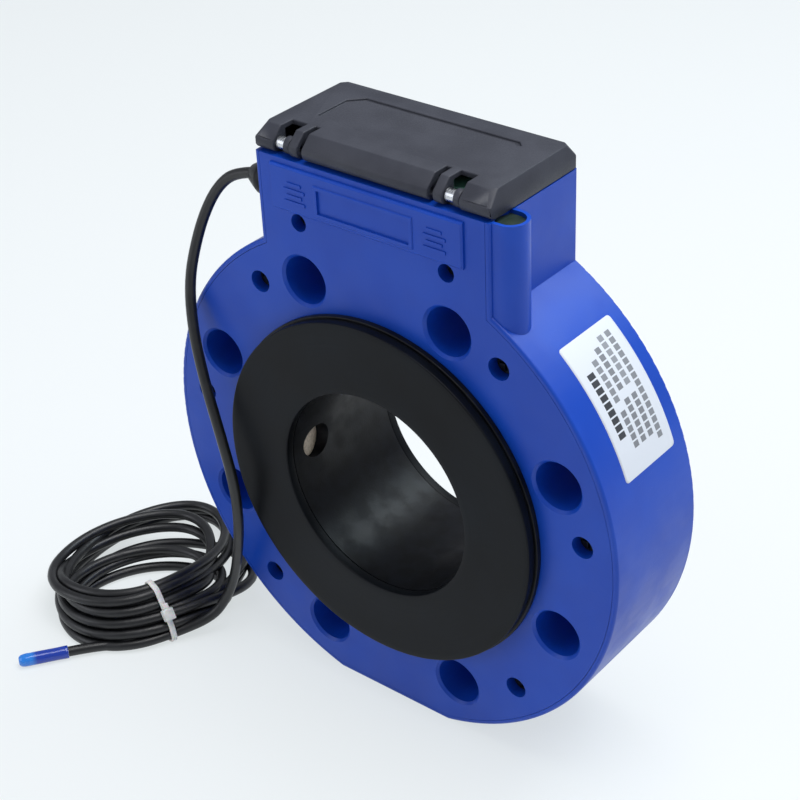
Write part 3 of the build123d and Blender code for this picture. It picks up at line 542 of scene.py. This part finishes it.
# %% Turned rings
FACE_STEPS = 14
GASKET_INNER, GASKET_OUTER, GASKET_FACE, GASKET_BACK = 40.05, 67.0, -30.0, -26.2
GASKET_CORNER, GASKET_DIP = 0.55, 0.12
FLANGE_INNER, FLANGE_OUTER, FLANGE_CORNER = 46.05, 67.8, 0.3


def ring_mesh(name, profile, around=192):
    """Turned about the Y axis: (r cos q, y, r sin q) for each (r, y) of a closed profile."""
    q = np.linspace(0, 2 * np.pi, around, endpoint=False)
    radius, depth = np.array(profile).T
    x = radius[:, None] * np.cos(q)
    z = radius[:, None] * np.sin(q)
    y = np.broadcast_to(depth[:, None], x.shape)
    points = np.stack([x, y, z], axis=-1)
    return outward(grid_mesh(name, points, close_u=True, close_v=True))


def rounded_ring(inner, outer, low, high, corner, dip=0.0, steps=5):
    """Closed profile of a ring: quarter circles as corners, and a face that dips as sin^2."""
    turn = np.linspace(0, np.pi / 2, steps)
    centres = [
        (outer - corner, high - corner, 0.0), (inner + corner, high - corner, 0.5 * np.pi),
        (inner + corner, low + corner, np.pi), (outer - corner, low + corner, 1.5 * np.pi),
    ]
    arcs = [
        np.column_stack([r + corner * np.cos(turn + s), y + corner * np.sin(turn + s)])
        for r, y, s in centres
    ]
    share = np.linspace(0, 1, FACE_STEPS)[1:-1]
    low_face = np.column_stack([
        inner + corner + share * (outer - inner - 2 * corner), low + dip * np.sin(np.pi * share) ** 2,
    ])
    return np.concatenate([arcs[0], arcs[1], arcs[2], low_face, arcs[3]])


gasket_face = rounded_ring(
    GASKET_INNER, GASKET_OUTER, GASKET_FACE, GASKET_BACK, GASKET_CORNER, dip=GASKET_DIP,
)
front_gasket = link_piece("front_gasket_ring", ring_mesh("front_gasket_ring", gasket_face))
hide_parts("front_gasket")
rear_gasket = link_piece("rear_gasket_ring", ring_mesh("rear_gasket_ring", gasket_face * [1, -1]))
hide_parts("rear_gasket")
flange_face = rounded_ring(FLANGE_INNER, FLANGE_OUTER, GASKET_BACK, FRONT_FACE_Y, FLANGE_CORNER)
flange = link_piece("front_flange_plate", ring_mesh("front_flange_plate", flange_face))
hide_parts("front_flange_ring")
print("gasket faces", len(front_gasket.data.polygons))

# %% [markdown]
# ## Rating label
# The label is coated paper on the ring's outer wall. Its outline is a rectangle with round
# corners, bent to the ring's radius: one grid direction runs round the ring and one along the
# bore, and near the ends each row gets shorter to make the corners. A UV map in millimetres
# carries the plain printed bars.

# %% Rating label
LABEL_RADIUS, LABEL_FRONT, LABEL_REAR, LABEL_CORNER = 98.03, -11.6, 17.4, 1.4
LABEL_THICKNESS, CORNER_STEPS = 0.22, 9
label_angles = np.radians([19.2, 48.1])


def label_surface(rows=60, columns=24):
    """(R cos a, y, R sin a), y = middle + t (half - c + sqrt(c^2 - d^2)), d into a corner zone."""
    length = (label_angles[1] - label_angles[0]) * LABEL_RADIUS
    edge = LABEL_CORNER * (1 - np.cos(np.linspace(0, np.pi / 2, CORNER_STEPS)))
    straight = np.linspace(LABEL_CORNER, length - LABEL_CORNER, rows)[1:-1]
    s = np.concatenate([edge, straight, length - edge[::-1]])
    d = np.clip(LABEL_CORNER - np.minimum(s, length - s), 0, LABEL_CORNER)
    half = (LABEL_REAR - LABEL_FRONT) / 2 - LABEL_CORNER + np.sqrt(LABEL_CORNER ** 2 - d ** 2)
    t = np.linspace(-1, 1, columns)
    y = (LABEL_FRONT + LABEL_REAR) / 2 + half[:, None] * t
    angle = np.broadcast_to((label_angles[0] + s / LABEL_RADIUS)[:, None], y.shape)
    points = np.stack([LABEL_RADIUS * np.cos(angle), y, LABEL_RADIUS * np.sin(angle)], axis=-1)
    uv = np.stack([y - LABEL_FRONT, np.broadcast_to(s[:, None], y.shape)], axis=-1)
    return points, uv


label_points, label_uv = label_surface()
label_mesh = grid_mesh("rating_label_sheet", label_points)
layer = label_mesh.uv_layers.new(name="label_mm")
corner_vertex = np.empty(len(label_mesh.loops), dtype=np.int32)
label_mesh.loops.foreach_get("vertex_index", corner_vertex)
layer.data.foreach_set("uv", label_uv.reshape(-1, 2)[corner_vertex].ravel())
label = link_piece("rating_label_sheet", label_mesh)
paper = label.modifiers.new("paper thickness", "SOLIDIFY")
paper.thickness = LABEL_THICKNESS * MM
paper.offset = 1.0
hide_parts("rating_label")
print("label size in mm", np.round(label_uv.reshape(-1, 2).max(0), 1))

# %% [markdown]
# ## Building finishes
# A finish is a small tree of nodes round one Principled shader. One function adds any node, with
# its settings and its links. Colours are written as sRGB hex values, as they would be picked from
# a screen, and turned to linear light. Patterns read Object coordinates, which are metres here, so
# a noise of 1 mm has a scale of 1000.

# %% Helpers for finishes
def linear(hex_colour):
    """sRGB hex to linear light: c / 12.92 below 0.04045, else ((c + 0.055) / 1.055) ^ 2.4."""
    c = np.array([int(hex_colour[k:k + 2], 16) for k in (1, 3, 5)]) / 255
    return (*np.where(c <= 0.04045, c / 12.92, ((c + 0.055) / 1.055) ** 2.4).tolist(), 1.0)


def add_node(tree, kind, settings=None, links=None):
    """Add one node: settings are properties or input values, links the outputs that feed its inputs."""
    made = tree.nodes.new("ShaderNode" + kind)
    for key, value in (settings or {}).items():
        if isinstance(key, str) and key[0].islower():
            setattr(made, key, value)
        else:
            made.inputs[key].default_value = value
    for key, source in (links or {}).items():
        tree.links.new(source, made.inputs[key])
    return made


def new_finish(name, **sockets):
    """A material with its Principled shader; words in sockets are input names with _ for a space."""
    material = bpy.data.materials.new(name)
    material.use_nodes = True
    tree = material.node_tree
    shader = tree.nodes["Principled BSDF"]
    for key, value in sockets.items():
        words = key.replace("_", " ").title().replace("Ior", "IOR")
        shader.inputs[words].default_value = linear(value) if isinstance(value, str) else value
    place = add_node(tree, "TexCoord").outputs["Object"]
    return material, tree, shader, place


def pattern(tree, place, size_mm, detail=2.0, low=0.4, high=0.6):
    """Noise with patches of a real size in mm, stretched to run from 0 to 1 between low and high."""
    noise = add_node(tree, "TexNoise", {"Scale": 1000.0 / size_mm, "Detail": detail}, {"Vector": place})
    return add_node(
        tree, "MapRange", {"From Min": low, "From Max": high}, {"Value": noise.outputs["Fac"]}
    ).outputs["Result"]


def vary_colour(tree, shader, amount, first, second):
    """Base colour between two hex values, by a pattern."""
    ends = {"data_type": "RGBA", 6: linear(first), 7: linear(second)}
    mix = add_node(tree, "Mix", ends, {0: amount})
    tree.links.new(mix.outputs[2], shader.inputs["Base Color"])


def vary_roughness(tree, shader, amount, low, high):
    """Roughness between two values, by a pattern."""
    spread = add_node(tree, "MapRange", {"To Min": low, "To Max": high}, {"Value": amount})
    tree.links.new(spread.outputs["Result"], shader.inputs["Roughness"])


def relief(tree, shader, amount, height_mm, below=None):
    """Bump of a real height in mm, on top of an earlier bump."""
    links = {"Height": amount}
    if below is not None:
        links["Normal"] = below
    bump = add_node(tree, "Bump", {"Distance": height_mm * MM, "Strength": 1.0}, links)
    tree.links.new(bump.outputs["Normal"], shader.inputs["Normal"])
    return bump.outputs["Normal"]


def dress(material, *pieces):
    """Give pieces, or solids by name, their finish."""
    for piece in pieces:
        piece = nodes[piece] if isinstance(piece, str) else piece
        if not piece.material_slots:
            piece.data.materials.append(material)
        for place in piece.material_slots:
            place.material = material


print("finish helpers ready")

# %% [markdown]
# ## Blue housing
# The shell and cover are injection-moulded ABS, coloured through. The tool was blasted lightly, so
# the skin is satin, with a fine orange peel that only shows in reflections. Thick sections sink a
# little as they cool, which gives slow waves in the sheen. ABS has an IOR of about 1.53.

# %% Blue ABS
housing_abs, tree, shader, place = new_finish(
    "blue ABS, moulded satin", roughness=0.38, ior=1.53, specular_ior_level=0.3,
)
# The eye sees an even, deep blue with soft highlights, a shade lighter in wide, faint patches.
vary_colour(tree, shader, pattern(tree, place, 28.0), "#0B40AA", "#0E45B1")
vary_roughness(tree, shader, pattern(tree, place, 12.0), 0.34, 0.42)
waves = relief(tree, shader, pattern(tree, place, 22.0, detail=1.0, low=0.3, high=0.7), 0.035)
relief(tree, shader, pattern(tree, place, 0.9, detail=3.0), 0.006, waves)
dress(housing_abs, shell_piece, "front_cover")
print("dressed", shell_piece.name, "and front_cover")

# %% [markdown]
# ## Black parts
# Three different blacks sit side by side. The flow tube and flange are glass-filled nylon,
# machined on the bore and sealing faces. The gaskets are EPDM rubber, smooth from a polished
# mould, with a faint bloom that follows the way they were wiped, round the ring. The lid is ABS
# from a spark-eroded tool, which leaves an even grain.

# %% Black nylon, rubber and grained ABS
nylon, tree, shader, place = new_finish(
    "black glass-filled nylon", roughness=0.4, ior=1.53, specular_ior_level=0.2,
)
# The eye sees a dull black with short, broken sheen where the tool passed.
vary_colour(tree, shader, pattern(tree, place, 6.0, detail=4.0), "#090A0E", "#101218")
vary_roughness(tree, shader, pattern(tree, place, 9.0, detail=3.0), 0.32, 0.46)
relief(tree, shader, pattern(tree, place, 0.7, detail=3.0), 0.008)
dress(nylon, "flow_tube", flange, "gland_body", nut_piece, "gland_locknut", "battery_holder")

rubber, tree, shader, place = new_finish(
    "black EPDM rubber, moulded", roughness=0.42, ior=1.52, specular_ior_level=0.12,
)
apart = add_node(tree, "SeparateXYZ", links={0: place}).outputs
radius_sq = [
    add_node(tree, "Math", {"operation": "MULTIPLY"}, {0: apart[k], 1: apart[k]}).outputs[0]
    for k in (0, 2)
]
total = add_node(tree, "Math", {"operation": "ADD"}, {0: radius_sq[0], 1: radius_sq[1]}).outputs[0]
from_axis = add_node(tree, "Math", {"operation": "SQRT"}, {0: total}).outputs[0]
# Wiping marks run round the ring: the pattern reads the distance from the axis, so it is the same
# all round. The eye sees a soft, greyish sheen on a near-black ring.
marks = {"noise_dimensions": "1D", "Scale": 900.0, "Detail": 3.0}
round_marks = add_node(tree, "TexNoise", marks, {"W": from_axis})
bloom = pattern(tree, place, 30.0, detail=3.0, low=0.35, high=0.7)
vary_colour(tree, shader, bloom, "#090B0F", "#12161B")
wiped = {0: round_marks.outputs["Fac"], 1: bloom}
wiped_bloom = add_node(tree, "Math", {"operation": "MULTIPLY"}, wiped).outputs[0]
vary_roughness(tree, shader, wiped_bloom, 0.36, 0.56)
relief(tree, shader, round_marks.outputs["Fac"], 0.004)
dress(rubber, front_gasket, rear_gasket, "cover_seal", "gland_seal")

lid_abs, tree, shader, place = new_finish(
    "black ABS, spark-grained", roughness=0.5, ior=1.53, specular_ior_level=0.3,
)
vary_colour(tree, shader, pattern(tree, place, 14.0, detail=3.0), "#30323B", "#373942")
# The real grain is 0.2 mm; it is drawn at 0.45 mm, the finest that this picture can show. The eye
# sees a dull charcoal skin that scatters every highlight.
grain = pattern(tree, place, 0.45, detail=2.0, low=0.35, high=0.65)
vary_roughness(tree, shader, grain, 0.44, 0.58)
relief(tree, shader, grain, 0.02)
dress(lid_abs, lid_piece, bezel_piece)
print("dressed the black parts")

# %% [markdown]
# ## Cable, sleeve and tie
# The sheath is soft PVC, extruded, so its skin is satin and a little uneven, with a bit of dust on
# it. The sleeve is clear blue vinyl with the dark cable end inside it, so it is darker there and
# light at its empty tip. The tie is natural nylon, which lets some light in.

# %% Sheath, sleeve and tie
sheath, tree, shader, place = new_finish("black PVC sheath, extruded", roughness=0.42, ior=1.53)
# The eye sees a long, soft highlight on each strand, greyer where dust lies.
dust = pattern(tree, place, 5.0, detail=5.0, low=0.45, high=0.8)
vary_colour(tree, shader, dust, "#121315", "#1D1E21")
vary_roughness(tree, shader, dust, 0.36, 0.5)
relief(tree, shader, pattern(tree, place, 0.8, detail=2.0), 0.01)
dress(sheath, cable, "inner_cable", "upstream_lead", "downstream_lead")

vinyl, tree, shader, place = new_finish(
    "blue vinyl, clear, dipped", roughness=0.16, ior=1.53, transmission_weight=0.25, coat_weight=0.3,
)
# The eye sees a glossy, deep blue tube. The cable end reaches 12.5 mm into it, and over the next
# 2 mm the colour turns light.
start = {"operation": "DISTANCE", 1: Vector(sleeve_start * MM)}
from_start = add_node(tree, "VectorMath", start, {0: place}).outputs["Value"]
reach = {"From Min": 0.0125, "From Max": 0.0145}
empty_tip = add_node(tree, "MapRange", reach, {"Value": from_start}).outputs["Result"]
vary_colour(tree, shader, empty_tip, "#1240B8", "#2A8CF0")
relief(tree, shader, pattern(tree, place, 3.0, detail=2.0), 0.05)
dress(vinyl, sleeve)

tie_nylon, tree, shader, place = new_finish(
    "natural nylon, moulded", roughness=0.34, ior=1.53, subsurface_weight=0.25, subsurface_scale=0.001,
)
# The eye sees a milky white that looks soft, because light enters it.
vary_colour(tree, shader, pattern(tree, place, 2.0), "#E6E6E0", "#F2F2EE")
relief(tree, shader, pattern(tree, place, 0.6), 0.01)
dress(tie_nylon, tie)
print("dressed the cable and what is on it")

# %% [markdown]
# ## Label paper
# The label carries plain grey bars where a real one has print: a dark heading and four finer lines
# along the ring. A table gives each bar's place on the label's own UV map, in millimetres. Narrow
# breaks along the lines give them the rhythm of print without a single letter.

# %% Label with plain bars
paper_coat, tree, shader, place = new_finish("white coated paper, printed", roughness=0.42, ior=1.5)
# The eye sees a flat white with a faint sheen, and matt grey ink on it.
uv = add_node(tree, "UVMap", {"uv_map": "label_mm"}).outputs[0]
apart = add_node(tree, "SeparateXYZ", links={0: uv}).outputs
BLOCK_STEP, BLOCK_HALF = 2.7, 0.39
# Each bar: place across, half width, start and end along the ring, and how dark its ink is.
print_bars = [
    (5.8, 1.75, 13.5, 37.8, 1.0), (10.7, 1.3, 8.1, 21.6, 0.75), (10.7, 1.3, 24.3, 40.5, 0.7),
    (14.9, 1.3, 8.1, 24.3, 0.75), (14.9, 1.3, 27.0, 43.2, 0.75), (19.1, 1.3, 8.1, 24.3, 0.75),
    (19.1, 1.3, 27.0, 45.9, 0.65), (23.3, 1.3, 5.4, 45.9, 0.72),
]
ink = None
for middle, half, low, high, dark in print_bars:
    column = {"operation": "COMPARE", 1: middle, 2: half}
    length = {"operation": "COMPARE", 1: (low + high) / 2, 2: (high - low) / 2}
    in_column = add_node(tree, "Math", column, {0: apart[0]}).outputs[0]
    in_length = add_node(tree, "Math", length, {0: apart[1]}).outputs[0]
    both = add_node(tree, "Math", {"operation": "MULTIPLY"}, {0: in_column, 1: in_length}).outputs[0]
    darker = add_node(tree, "Math", {"operation": "MULTIPLY", 1: dark}, {0: both}).outputs[0]
    if ink is None:
        ink = darker
    else:
        ink = add_node(tree, "Math", {"operation": "ADD"}, {0: ink, 1: darker}).outputs[0]
step = add_node(tree, "Math", {"operation": "DIVIDE", 1: BLOCK_STEP}, {0: apart[1]}).outputs[0]
part = add_node(tree, "Math", {"operation": "FRACT"}, {0: step}).outputs[0]
inside = {"operation": "COMPARE", 1: 0.5, 2: BLOCK_HALF}
block = add_node(tree, "Math", inside, {0: part}).outputs[0]
ink = add_node(tree, "Math", {"operation": "MULTIPLY"}, {0: ink, 1: block}).outputs[0]
vary_colour(tree, shader, ink, "#D2D7DF", "#34373D")
relief(tree, shader, pattern(tree, place, 1.2, detail=3.0), 0.004)
dress(paper_coat, label)
print("label dressed")

# %% [markdown]
# ## Steel, sensor faces, pane and the inside
# Pins, bushes and screws are turned steel: a metal with fine turning lines, which here are a
# stretched noise. The sensor faces are filled epoxy with visible grains. The pane is green-tinted
# glass. What lies under the lid gets the finish of its real material as well, because the lid
# opens.

# %% Steel
steel, tree, shader, place = new_finish("turned stainless steel", metallic=1.0, roughness=0.26)
# The eye sees small bright cylinders with fine dark lines.
stretched = add_node(tree, "Mapping", {"Scale": (9.0, 1.0, 1.0)}, {"Vector": place}).outputs[0]
lines = pattern(tree, stretched, 1.6, detail=4.0)
vary_colour(tree, shader, lines, "#B9BCC0", "#DADCDF")
vary_roughness(tree, shader, lines, 0.2, 0.36)
relief(tree, shader, lines, 0.006)
dress(
    steel, "left_hinge_pin", "right_hinge_pin", "left_hinge_bush", "right_hinge_bush",
    "board_screws", "upstream_transducer", "downstream_transducer",
)
oxide, tree, shader, place = new_finish("black-oxide screw steel", metallic=0.9, roughness=0.42)
# The eye sees a dark, dull metal at the bottom of the wells.
vary_colour(tree, shader, pattern(tree, place, 1.2, detail=3.0), "#232427", "#34353A")
vary_roughness(tree, shader, pattern(tree, place, 0.8), 0.36, 0.52)
relief(tree, shader, pattern(tree, place, 0.5), 0.008)
dress(oxide, "cover_screws", "bezel_screws")
print("steel dressed")

# %% Sensor faces, pane, sealing compound
epoxy, tree, shader, place = new_finish("tan filled epoxy, cast", roughness=0.48, ior=1.55)
# The eye sees a matt tan disc with pale grains.
vary_colour(tree, shader, pattern(tree, place, 1.1, detail=4.0), "#C4B39C", "#DFCFB8")
relief(tree, shader, pattern(tree, place, 0.5), 0.03)
dress(epoxy, "upstream_transducer_face", "downstream_transducer_face")

pane, tree, shader, place = new_finish(
    "green-tinted pane", base_color="#8FD6BE", roughness=0.06, ior=1.5, transmission_weight=0.6,
)
# The eye sees a green glint through the lid's notches, and the display through it when it is open.
vary_roughness(tree, shader, pattern(tree, place, 8.0), 0.04, 0.1)
dress(pane, "display_window")

compound, tree, shader, place = new_finish(
    "grey-green sealing compound, poured", roughness=0.3, ior=1.5,
)
# The eye sees a dark, slightly wavy surface that has set in the column's mouth.
vary_colour(tree, shader, pattern(tree, place, 4.0, detail=3.0), "#243029", "#2F3D35")
relief(tree, shader, pattern(tree, place, 5.0, detail=1.0), 0.15)
dress(compound, "column_filler")
print("sensor faces, pane and compound dressed")

# %% Board, display and cells
laminate, tree, shader, place = new_finish("green solder mask on laminate", roughness=0.35, ior=1.5)
# The eye sees a satin green with the darker and lighter patches of copper under the mask.
vary_colour(tree, shader, pattern(tree, place, 1.5, detail=4.0), "#14502F", "#1C6A3E")
relief(tree, shader, pattern(tree, place, 0.8), 0.02)
dress(laminate, "main_board")

display, tree, shader, place = new_finish("grey-green display glass", roughness=0.2, ior=1.5)
# The eye sees an even, dull green-grey with a clear reflection on top.
vary_colour(tree, shader, pattern(tree, place, 10.0), "#8D9A86", "#97A490")
relief(tree, shader, pattern(tree, place, 1.0), 0.003)
dress(display, "lcd_module")

wrap, tree, shader, place = new_finish("green shrink film on cells", roughness=0.28, ior=1.52)
# The eye sees glossy green tubes with soft creases.
vary_colour(tree, shader, pattern(tree, place, 7.0, detail=3.0), "#2B7D47", "#33914F")
relief(tree, shader, pattern(tree, place, 4.0), 0.04)
dress(wrap, "battery_cells")
print("inside dressed")

# %% [markdown]
# ## Bench and light
# The meter stands on a pale bench under soft studio light: one large lamp overhead, a weaker one
# from the front left, a faint strip at the right, and one behind that lights the ring's shoulder.
# The bench is a little brighter to the camera than to the object, so that it looks white without
# flooding the blue with light, and it keeps its shadow.

# %% Bench
BENCH_HALF, GLOW_SHARE = 3000.0, 0.68
bench_sides = (-BENCH_HALF, BENCH_HALF)
bench_points = np.array([[(x, y, FLOOR) for y in bench_sides] for x in bench_sides])
bench = bpy.data.objects.new("bench", grid_mesh("bench", bench_points, smooth=False))
bpy.context.scene.collection.objects.link(bench)
bench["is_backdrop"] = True
paint, tree, shader, place = new_finish("white matt bench", base_color="#E4E6EA", roughness=0.7)
# The eye sees a clean, pale floor with a soft shadow.
bright = add_node(tree, "Emission", {"Color": linear("#F5FBFC"), "Strength": 1.0}).outputs[0]
seen = add_node(tree, "LightPath").outputs
direct = seen["Is Camera Ray"]
for ray in ("Is Glossy Ray", "Is Transmission Ray"):
    direct = add_node(tree, "Math", {"operation": "MAXIMUM"}, {0: direct, 1: seen[ray]}).outputs[0]
glow = {"operation": "MULTIPLY", 1: GLOW_SHARE}
share = add_node(tree, "Math", glow, {0: direct}).outputs[0]
mixed = add_node(tree, "MixShader", links={0: share, 1: shader.outputs[0], 2: bright})
tree.links.new(mixed.outputs[0], tree.nodes["Material Output"].inputs["Surface"])
dress(paint, bench)
print("bench at", FLOOR, "mm")

# %% Lamps and world
WORLD_STRENGTH = 0.42


def soft_lamp(name, place, size, watts, colour="#FFFFFF"):
    """A square lamp that faces the middle of the meter."""
    lamp = bpy.data.lights.new(name, "AREA")
    lamp.size = size
    lamp.energy = watts
    lamp.color = linear(colour)[:3]
    holder = bpy.data.objects.new(name, lamp)
    bpy.context.scene.collection.objects.link(holder)
    turn = (-Vector(place)).to_track_quat("-Z", "Y")
    holder.matrix_world = Matrix.Translation(place) @ turn.to_matrix().to_4x4()


soft_lamp("overhead", (0.25, 0.15, 1.1), 0.9, 13.0)
soft_lamp("front_left", (-0.7, -0.9, 0.5), 0.8, 3.5, "#F4F7FF")
soft_lamp("right_strip", (1.0, 0.2, 0.6), 0.5, 0.3)
soft_lamp("behind", (0.34, 0.74, 0.80), 0.6, 3.9, "#E4F6FF")
world = bpy.data.worlds.new("studio")
world.use_nodes = True
sky = world.node_tree.nodes["Background"].inputs
sky["Color"].default_value = linear("#EEF2FA")
sky["Strength"].default_value = WORLD_STRENGTH
bpy.context.scene.world = world
bpy.context.scene.view_settings.view_transform = "Standard"
print("lamps and world set")

# %% Sizes, then finish
visual_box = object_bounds()
grown = (np.array(visual_box) - np.array(cad_box)) / MM
print("grown by in mm", np.round(grown, 2).tolist())
